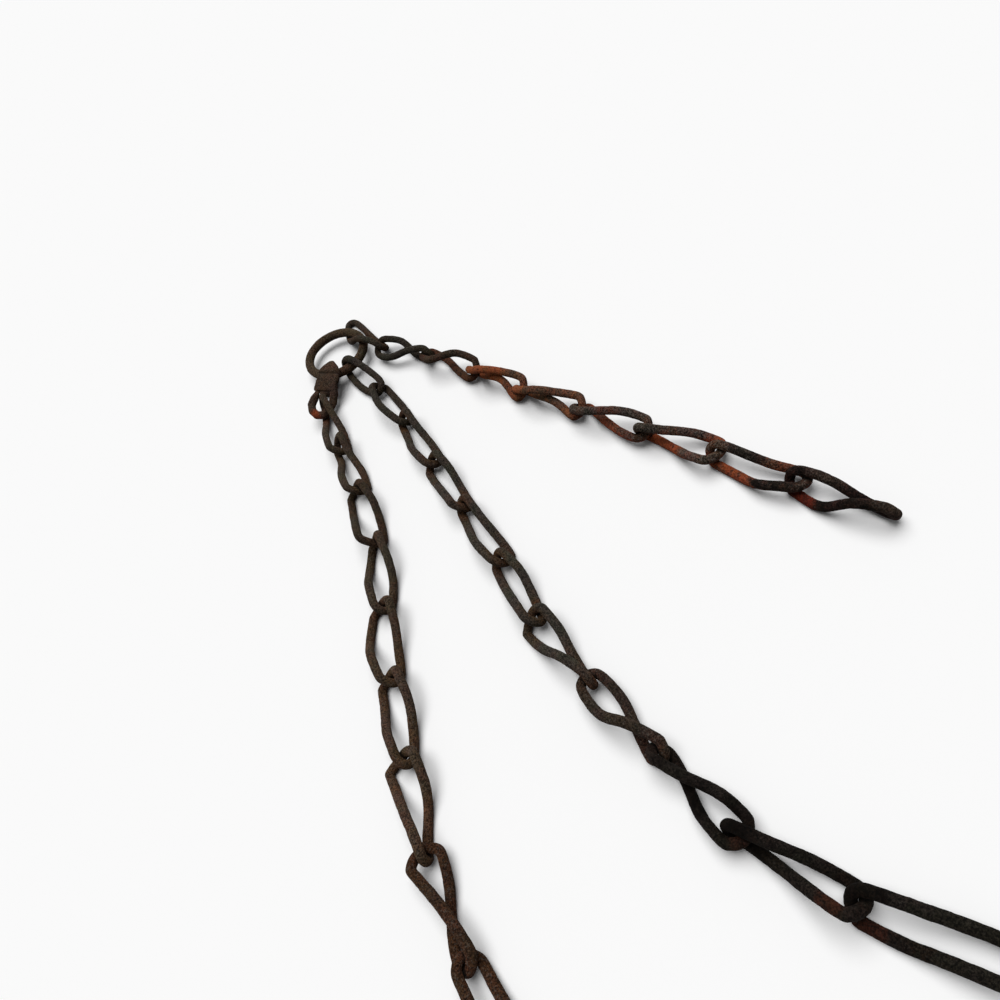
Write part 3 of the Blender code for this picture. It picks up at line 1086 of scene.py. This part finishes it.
class JointNearness:
    """Marks how near each point of a piece is to the pieces that it hangs in.

    Attributes:
        reach: how far a joint's mark spreads, for its crust and its painted shade, in metres.
        thinning: one in so many of the other piece's points is measured to.
    """

    reach = 0.0060
    thinning = 3

    def __init__(self, pieces: list[bpy.types.Object]) -> None:
        """Reads the places of all pieces.

        Args:
            pieces: the forged objects.
        """
        self.pieces = pieces
        self.places = [points_of(piece) for piece in pieces]
        self.lows = np.array([place.min(axis=0) for place in self.places])
        self.highs = np.array([place.max(axis=0) for place in self.places])

    def mark(self) -> None:
        """Writes the joint attribute of every piece: 1 against a neighbour, 0 away from it."""
        for number, piece in enumerate(self.pieces):
            nearness = np.zeros(len(self.places[number]))
            for other in self.neighbours(number):
                nearness = np.maximum(nearness, self.nearness(number, other))
            # The joint mark lays the earth crust at joints and the painted shade where pieces
            # touch.
            write_mask(piece, "joint", nearness)

    def neighbours(self, number: int) -> list[int]:
        """The pieces whose boxes come near this one's.

        Args:
            number: the piece's place in the list.

        Returns:
            The other pieces' places in the list.
        """
        near = (self.lows < self.highs[number] + self.reach).all(axis=1)
        near &= (self.highs > self.lows[number] - self.reach).all(axis=1)
        return [int(other) for other in np.flatnonzero(near) if other != number]

    def nearness(self, number: int, other: int) -> np.ndarray:
        """How near a piece's vertices are to another piece.

        Args:
            number: the piece's place in the list.
            other: the other piece's place.

        Returns:
            For each vertex, 1 at the other's surface, falling to 0 at the joint's reach.
        """
        places = self.places[number]
        result = np.zeros(len(places))
        inside = (places > self.lows[other] - self.reach).all(axis=1)
        inside &= (places < self.highs[other] + self.reach).all(axis=1)
        there = self.places[other]
        close = (there > places.min(axis=0) - self.reach).all(axis=1)
        close &= (there < places.max(axis=0) + self.reach).all(axis=1)
        targets = there[close][:: self.thinning]
        if not len(targets):
            return result
        tree = KDTree(len(targets))
        for index, target in enumerate(targets):
            tree.insert(target, index)
        tree.balance()
        for index in np.flatnonzero(inside):
            result[index] = 1.0 - tree.find(places[index])[2] / self.reach
        return smooth_step(result)


# ---------------------------------------------------------------------------------------------
# The chain
# ---------------------------------------------------------------------------------------------


@dataclass
class Gathering:
    """The ring that gathers the strands, and the hook that the left one hangs on.

    Attributes:
        ring_finish: how the ring has rusted.
        hook_finish: how the hook has rusted.
    """

    ring_finish: RustFinish = RING_BROWN
    hook_finish: RustFinish = HOOK_UMBER

    def pieces(self) -> list[ForgedPiece]:
        """The ring and the hook.

        Returns:
            The pieces, ready to be forged.
        """
        return [ForgedPiece("ring", self.ring_finish), StrapHook("strap_hook", self.hook_finish)]


@dataclass
class Strand:
    """One strand of links.

    Attributes:
        side: the strand's side, which starts its links' names.
        runs: from the ring outward, each finish and how many links have it.
    """

    side: str
    runs: tuple[tuple[RustFinish, int], ...]

    def pieces(self) -> list[ForgedPiece]:
        """The strand's links, from the ring outward.

        Returns:
            The pieces, ready to be forged.
        """
        finishes = [finish for finish, count in self.runs for _ in range(count)]
        return [
            ForgedPiece(f"{self.side}_link_{number:02d}", finish)
            for number, finish in enumerate(finishes, 1)
        ]


@dataclass
class Chain:
    """The whole chain.

    Attributes:
        gathering: its ring and hook.
        strands: its three strands.
    """

    gathering: Gathering
    strands: tuple[Strand, ...]

    def build(self) -> None:
        """Forges, marks and dresses every piece."""
        groups = RustGroups()
        relief = Relief()
        slots = {row["node"]: row["material_slot"] for row in frame["record"]["subparts"]}
        pieces = self.gathering.pieces()
        for strand in self.strands:
            pieces += strand.pieces()
        forged = [piece.forge(relief) for piece in pieces]
        JointNearness(forged).mark()
        materials: dict[RustFinish, bpy.types.Material] = {}
        for piece, thing in zip(pieces, forged):
            if piece.finish not in materials:
                materials[piece.finish] = piece.finish.material(groups)
            piece.dress(thing, materials[piece.finish], slots[piece.node])


LEFT_STRAND = Strand("left", ((LEFT_BROWN, 4), (LEFT_OCHRE, 3), (LEFT_UMBER, 2)))
MIDDLE_STRAND = Strand(
    "middle",
    ((SHADED_GREY, 2), (MIDDLE_GREY, 5), (MIDDLE_UMBER, 1), (BLACKENED, 3)),
)
RIGHT_STRAND = Strand(
    "right",
    (
        (MIDDLE_GREY, 1),
        (SHADED_GREY, 1),
        (RIGHT_RUSSET, 1),
        (RIGHT_ORANGE, 2),
        (RIGHT_SPECKLED, 3),
        (RIGHT_DARK_RED, 1),
    ),
)


# ---------------------------------------------------------------------------------------------
# The studio
# ---------------------------------------------------------------------------------------------


@dataclass
class Studio:
    """The pale floor, the soft light and the camera.

    Attributes:
        camera_place: where the camera stands, in metres.
        camera_drop: how far it looks down, in degrees.
        camera_roll: how far it is rolled, in degrees.
        lens: its focal length, in millimetres.
        sensor: its sensor's width, in millimetres.
        near: how close to it things still show, in metres.
        floor_size: the floor's side, in metres.
        floor_white: how pale the floor looks.
        floor_bounce: how much light the floor gives back to the iron.
        air: how strongly the air around lights the scene.
        key: how strong the overhead light is, in watts for each square metre.
        key_spread: how wide the overhead light is, in degrees.
        key_from: the direction that it comes from.
    """

    camera_place: tuple[float, float, float] = (-0.00043, -0.1940, 0.2488)
    camera_drop: float = 49.0
    camera_roll: float = 38.1
    lens: float = 27.04
    sensor: float = 36.0
    near: float = 0.01
    floor_size: float = 6.0
    floor_white: float = 0.98
    floor_bounce: float = 0.07
    air: float = 0.15
    key: float = 2.68
    key_spread: float = 60.0
    key_from: tuple[float, float, float] = (0.08, 0.25, 1.0)

    def camera(self) -> None:
        """Places the camera, looking down along the chain."""
        data = bpy.data.cameras.new("camera")
        data.lens = self.lens
        data.sensor_width = self.sensor
        data.clip_start = self.near
        camera = bpy.data.objects.new("camera", data)
        bpy.context.scene.collection.objects.link(camera)
        drop = math.radians(self.camera_drop)
        forward = Vector((0.0, math.cos(drop), -math.sin(drop)))
        up = Vector((0.0, math.sin(drop), math.cos(drop)))
        across = forward.cross(up)
        turn = Matrix((across, up, -forward)).transposed()
        roll = Matrix.Rotation(-math.radians(self.camera_roll), 3, "Z")
        camera.matrix_world = Matrix.Translation(self.camera_place) @ (turn @ roll).to_4x4()
        bpy.context.scene.camera = camera

    @staticmethod
    def seen(bench: NodeBench) -> bpy.types.NodeSocket:
        """A mask that is 1 for what the camera sees, directly, in gloss or through glass.

        Args:
            bench: the bench of the tree that needs it.

        Returns:
            The mask's socket.
        """
        rays = bench.add("ShaderNodeLightPath").outputs
        direct = bench.math("MAXIMUM", rays["Is Camera Ray"], rays["Is Glossy Ray"])
        return bench.math("MAXIMUM", direct, rays["Is Transmission Ray"])

    def floor(self) -> None:
        """Lays the plain pale floor."""
        bpy.ops.object.select_all(action="DESELECT")
        bpy.ops.mesh.primitive_plane_add(size=self.floor_size, location=(0.0, 0.0, 0.0))
        floor = bpy.context.object
        floor.name = "floor"
        material = bpy.data.materials.new("floor_paper")
        material.use_nodes = True
        bench = NodeBench(material.node_tree)
        shader = material.node_tree.nodes["Principled BSDF"].inputs
        dim, pale = ((tone, tone, tone) for tone in (self.floor_bounce, self.floor_white))
        bench.feed(shader["Base Color"], bench.mix(self.seen(bench), dim, pale))
        shader["Roughness"].default_value = 1.0
        shader["Specular IOR Level"].default_value = 0.0
        floor.data.materials.append(material)

    def light(self) -> None:
        """Adds the broad overhead light."""
        data = bpy.data.lights.new("overhead", "SUN")
        data.energy = self.key
        data.angle = math.radians(self.key_spread)
        lamp = bpy.data.objects.new("overhead", data)
        bpy.context.scene.collection.objects.link(lamp)
        lamp.rotation_euler = Vector(self.key_from).to_track_quat("Z", "Y").to_euler()

    def world(self) -> None:
        """Makes the air white where it is seen and soft where it lights."""
        world = bpy.data.worlds.new("studio_air")
        bpy.context.scene.world = world
        world.use_nodes = True
        bench = NodeBench(world.node_tree)
        back = world.node_tree.nodes["Background"].inputs
        bench.feed(back["Strength"], bench.ramp(self.seen(bench), 0.0, 1.0, self.air, 1.0))
        back["Color"].default_value = (1.0, 1.0, 1.0, 1.0)

    def build(self) -> None:
        """Sets up the studio."""
        self.camera()
        self.floor()
        self.light()
        self.world()
        bpy.context.scene.view_settings.view_transform = "Standard"
        LOG.info("studio ready")


def main() -> None:
    """Builds the studio and the chain."""
    logging.basicConfig(level=logging.INFO, format="%(message)s")
    Studio().build()
    Chain(Gathering(), (LEFT_STRAND, MIDDLE_STRAND, RIGHT_STRAND)).build()


if __name__ == "__main__":
    main()
